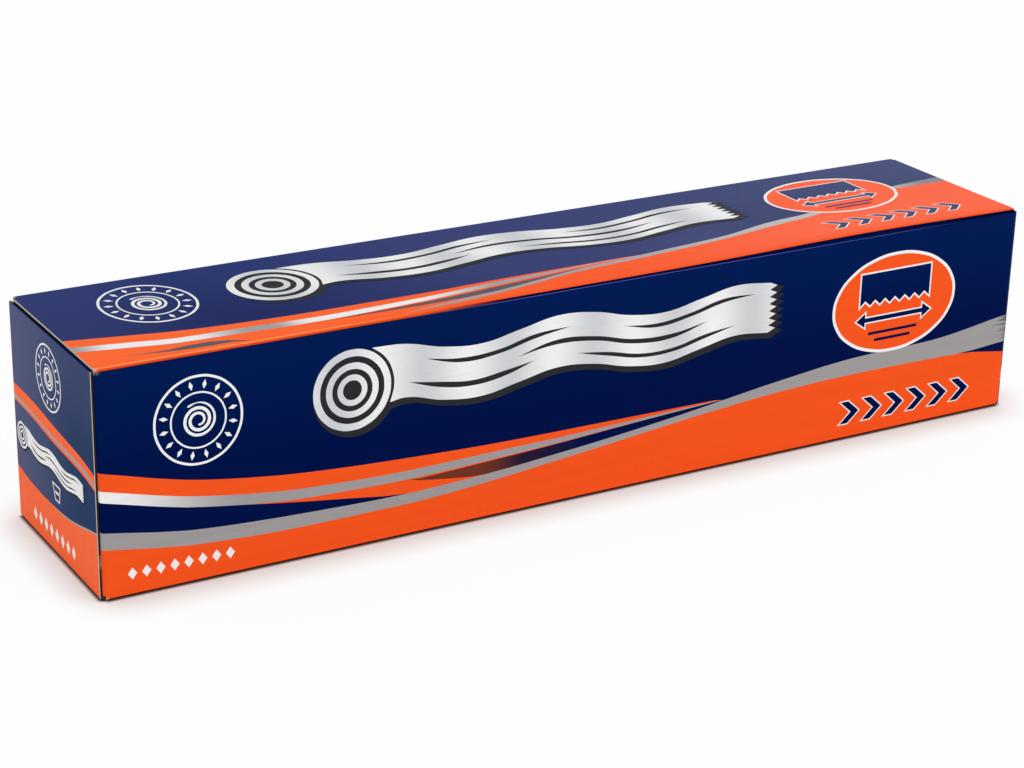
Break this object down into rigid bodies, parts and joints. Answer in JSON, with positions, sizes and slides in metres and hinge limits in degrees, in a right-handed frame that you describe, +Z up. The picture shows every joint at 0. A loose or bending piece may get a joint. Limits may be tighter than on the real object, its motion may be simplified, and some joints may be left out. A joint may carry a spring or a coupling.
{
  "type": "aluminium foil roll",
  "caption": "Roll of kitchen foil on a card core, in a long folded carton with a tuck-in lid hinged along its rear edge and a serrated cutter strip on the tuck flap.",
  "frame": {"origin": "middle of the carton's footprint, on the surface that it stands on", "axes": "+X along the roll, away from the end panel that the picture shows; -Y out of the front panel; +Z up"},
  "size_m": [0.3116, 0.0644, 0.0668],
  "materials": {
    "printed_board": "printed board with a satin varnish, grey-white inside",
    "cutter_steel": "thin tinned steel strip",
    "foil": "bright rolled foil",
    "core_card": "spiral-wound kraft card"
  },
  "bodies": {
    "carton": {"tray": "printed_board", "foil_roll": "foil", "core_tube": "core_card"},
    "lid_flap": {"lid": "printed_board", "cutter_strip": "cutter_steel"}
  },
  "joints": [
    {"name": "lid_hinge", "type": "hinge", "parent": "carton", "child": "lid_flap", "pos_m": [0, 0.03194, 0.06654], "axis": [-1, 0, 0], "range_deg": [0, 135]}
  ]
}
